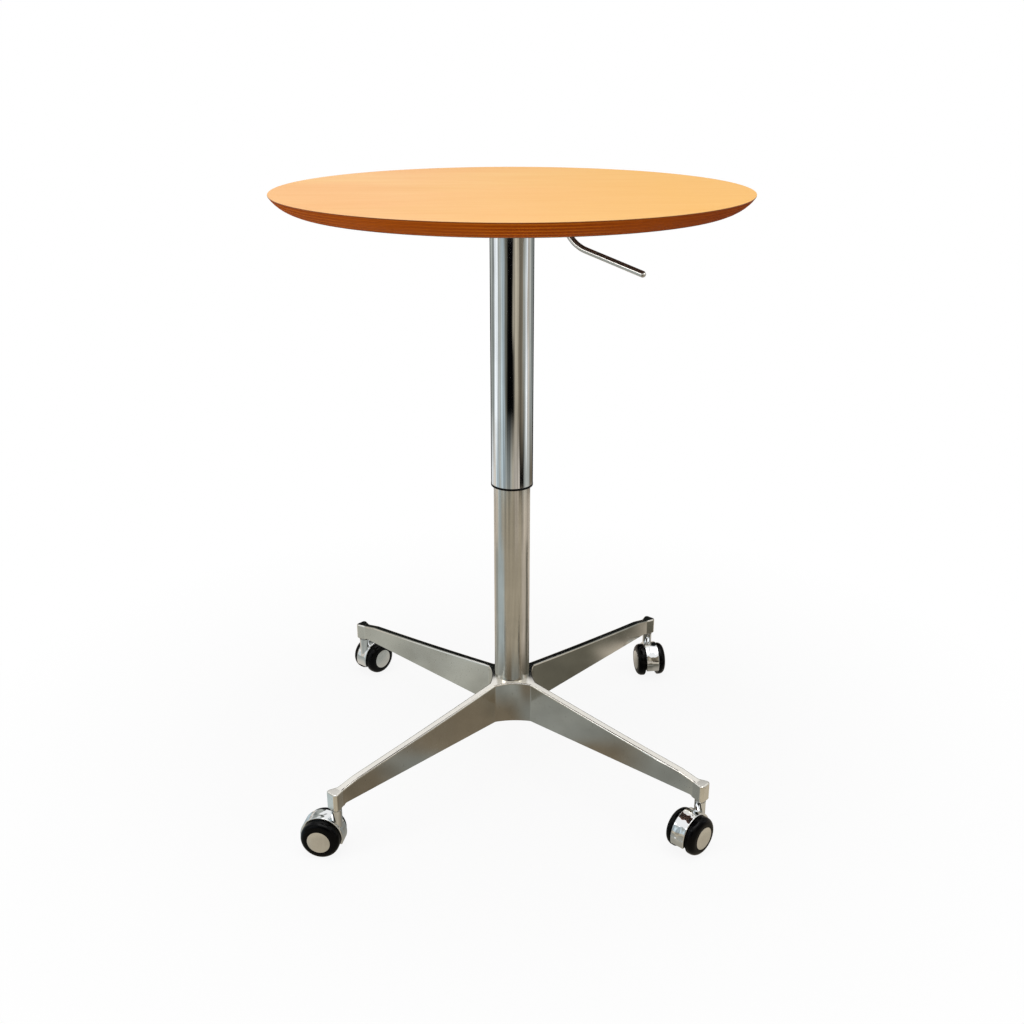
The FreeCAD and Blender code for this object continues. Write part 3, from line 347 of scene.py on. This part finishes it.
def finish_nodes():
    """Give every CAD node the finish of its material slot."""
    finishes = {
        "veneer": veneer_finish(),
        "plywood_edge": plywood_finish(),
        "backing": backing_finish(),
        "polished_aluminium": cast_finish(),
        "steel": steel_finish("zinc_steel", linear(176, 176, 174), linear(198, 198, 196), rough=0.3),
        "cap_satin": steel_finish("satin_cap", linear(225, 224, 221), linear(234, 233, 230), rough=0.14),
        "brass": steel_finish("brass", linear(196, 160, 92), linear(212, 178, 108), rough=0.28),
        "black_paint": painted_finish(),
        **plated_finishes(),
        **moulded_finishes(),
    }
    for part in frame["record"]["subparts"]:
        mesh = frame["nodes"][part["node"]].data
        mesh.materials.clear()
        mesh.materials.append(finishes[part["material_slot"]])


def sees_backdrop(tree):
    """1 for rays that show the white backdrop: from the camera, a mirror finish or a clear one."""
    path = tree.nodes.new("ShaderNodeLightPath")
    seen = path.outputs["Is Camera Ray"]
    for name in ("Is Glossy Ray", "Is Transmission Ray"):
        either = tree.nodes.new("ShaderNodeMath")
        either.operation = "MAXIMUM"
        tree.links.new(seen, either.inputs[0])
        tree.links.new(path.outputs[name], either.inputs[1])
        seen = either.outputs[0]
    return seen


def make_world():
    """White world: at full strength where it shows, and weaker as light on the table."""
    world = bpy.data.worlds.new("white_studio")
    world.use_nodes = True
    bpy.context.scene.world = world
    tree = world.node_tree
    strength = tree.nodes.new("ShaderNodeMix")
    tree.links.new(sees_backdrop(tree), strength.inputs[0])
    strength.inputs[2].default_value = AMBIENT
    strength.inputs[3].default_value = 1.0
    background = tree.nodes["Background"]
    background.inputs["Color"].default_value = WHITE
    tree.links.new(strength.outputs[0], background.inputs["Strength"])


def make_floor():
    """Pale floor: it shows as white, with the table's shadow near the table."""
    f = Finish("pale_floor", Roughness=0.9, Specular_IOR_Level=0.0, Base_Color=linear(240, 240, 240))
    shadow = f.spread(f.reach(), *SHADOW_FADE, SHADOW_SHARE, 0.0)
    white = f.math("MULTIPLY", sees_backdrop(f.tree), f.inverse(shadow))
    glow = f.add("Emission", {"Color": WHITE, "Strength": 1.0})
    f.show(f.add("MixShader", {0: white, 1: f.surface.outputs[0], 2: glow}))
    bpy.ops.mesh.primitive_plane_add(size=FLOOR_SIZE)
    floor = bpy.context.object
    floor.name = "floor"
    floor.data.materials.append(f.material)


def round_column(azimuth, distance, height):
    """A place at an azimuth from the camera's side, turning right as the camera sees it."""
    a = math.radians(azimuth + CAMERA_TURN)
    return Vector((math.sin(a) * distance, -math.cos(a) * distance, height))


def add_aimed(name, data, place, target):
    """Add a lamp or a camera at a place, pointing at a target."""
    obj = bpy.data.objects.new(name, data)
    bpy.context.scene.collection.objects.link(obj)
    obj.location = place
    obj.rotation_euler = (target - obj.location).to_track_quat("-Z", "Y").to_euler()
    return obj


def make_lamp(name, place, size, watts, colour):
    """Add a soft rectangular lamp that points at the middle of the table."""
    data = bpy.data.lights.new(name, "AREA")
    data.shape = "RECTANGLE"
    data.size, data.size_y = size
    data.energy = watts
    data.color = colour
    add_aimed(name, data, place, LAMP_TARGET)


def make_lamps():
    """A wide lamp overhead and an upright one at each side."""
    overhead = Vector((0, -0.3, 3.0))
    left = round_column(azimuth=-62, distance=3.0, height=1.6)
    right = round_column(azimuth=58, distance=3.4, height=1.7)
    make_lamp("overhead_softbox", overhead, size=(2.6, 2.0), watts=43, colour=LAMP_WHITE)
    make_lamp("left_softbox", left, size=(1.2, 2.4), watts=26, colour=LAMP_LILAC)
    make_lamp("right_softbox", right, size=(1.2, 2.2), watts=20, colour=LAMP_WARM)


def ring_of_tones(f, stops):
    """Painted reflection tones round the ring, each blended into the next, with a little sway."""
    sway = f.spread(f.noise(4.0, 3.0, 0.5), 0.25, 0.75, -TONE_SWAY, TONE_SWAY)
    azimuth = f.math("ARCTAN2", f.axis("X"), f.math("MULTIPLY", f.axis("Y"), -1.0))
    turn = f.spread(f.math("ADD", azimuth, sway), -math.pi, math.pi)
    ramp = f.tree.nodes.new("ShaderNodeValToRGB")
    ramp.color_ramp.interpolation = "EASE"
    places = [(degrees / 360 + 0.5, linear(*PAINTED_REFLECTION_TONES[tone])) for degrees, tone in stops.items()]
    elements = ramp.color_ramp.elements
    elements[0].position, elements[0].color = places[0]
    elements[1].position, elements[1].color = places[-1]
    for place, colour in places[1:-1]:
        elements.new(place).color = colour
    f.tree.links.new(turn, ramp.inputs[0])
    return ramp.outputs[0]


def show_in_reflections(obj, f, tone, streak):
    """Make an object glow with a tone, in upright streaks, and show in reflections only."""
    streaks = f.noise(1.0, 3.0, 0.6, fineness=(8, 8, 1.6))
    strength = f.spread(streaks, 0.35, 0.65, 1 - streak, 1 + streak)
    f.show(f.add("Emission", {"Color": tone, "Strength": strength}))
    obj.name = f.material.name
    obj.data.materials.append(f.material)
    obj.visible_camera = False
    obj.visible_diffuse = False
    obj.visible_shadow = False


def make_painted_reflection_wall():
    """Open ring round the table that glows with painted reflection tones at its foot, lower down and
    higher up, and white at its top.
    """
    bpy.ops.mesh.primitive_cylinder_add(vertices=REFLECTION_SIDES, radius=REFLECTION_RADIUS, depth=REFLECTION_WALL_HEIGHT,
                                        end_fill_type="NOTHING", location=(0, 0, REFLECTION_WALL_HEIGHT / 2),
                                        rotation=FACING_CAMERA)
    # painted reflection: this wall glows with the listed tones, lights nothing and shows only in
    # reflections
    f = Finish("painted_reflection_wall")
    height = f.math("ADD", f.axis("Z"), REFLECTION_WALL_HEIGHT / 2)
    tone = ring_of_tones(f, WALL_FOOT)
    tone = f.blend(f.spread(height, *FOOT_TO_LOWER), tone, ring_of_tones(f, LOWER_WALL))
    tone = f.blend(f.spread(height, *LOWER_TO_UPPER), tone, ring_of_tones(f, UPPER_WALL))
    tone = f.blend(f.spread(height, *UPPER_TO_WHITE), tone, WHITE)
    show_in_reflections(bpy.context.object, f, tone, WALL_STREAK)


def make_painted_reflection_floor():
    """Disc under the table that glows with painted reflection tones near the column, further out and out
    to the wall.
    """
    bpy.ops.mesh.primitive_circle_add(vertices=REFLECTION_SIDES, radius=REFLECTION_RADIUS, fill_type="NGON",
                                      location=(0, 0, REFLECTION_DISC_HEIGHT), rotation=FACING_CAMERA)
    # painted reflection: this disc glows with the listed tones, lights nothing and shows only in
    # reflections
    f = Finish("painted_reflection_floor")
    distance = f.reach()
    tone = ring_of_tones(f, NEAR_FLOOR)
    tone = f.blend(f.spread(distance, *NEAR_TO_MIDDLE), tone, ring_of_tones(f, MIDDLE_FLOOR))
    tone = f.blend(f.spread(distance, *MIDDLE_TO_FAR), tone, ring_of_tones(f, FAR_FLOOR))
    show_in_reflections(bpy.context.object, f, tone, FLOOR_STREAK)


def make_studio():
    """The surroundings: backdrop, floor, lamps and the glowing ring and disc that paint reflections."""
    make_world()
    make_floor()
    make_lamps()
    make_painted_reflection_wall()
    make_painted_reflection_floor()


def make_camera():
    """The photograph's camera, pitched down at the column's axis."""
    data = bpy.data.cameras.new("photo_camera")
    data.sensor_width = SENSOR_WIDTH_MM
    data.lens = SENSOR_WIDTH_MM * FOCAL_LENGTH_PIXELS / IMAGE_WIDTH_PIXELS
    place = round_column(0, CAMERA_DISTANCE, CAMERA_HEIGHT)
    drop = CAMERA_DISTANCE * math.tan(math.radians(CAMERA_PITCH))
    target = Vector((0, 0, CAMERA_HEIGHT - drop))
    bpy.context.scene.camera = add_aimed("photo_camera", data, place, target)


finish_nodes()
make_studio()
make_camera()
bpy.context.scene.view_settings.view_transform = "Standard"
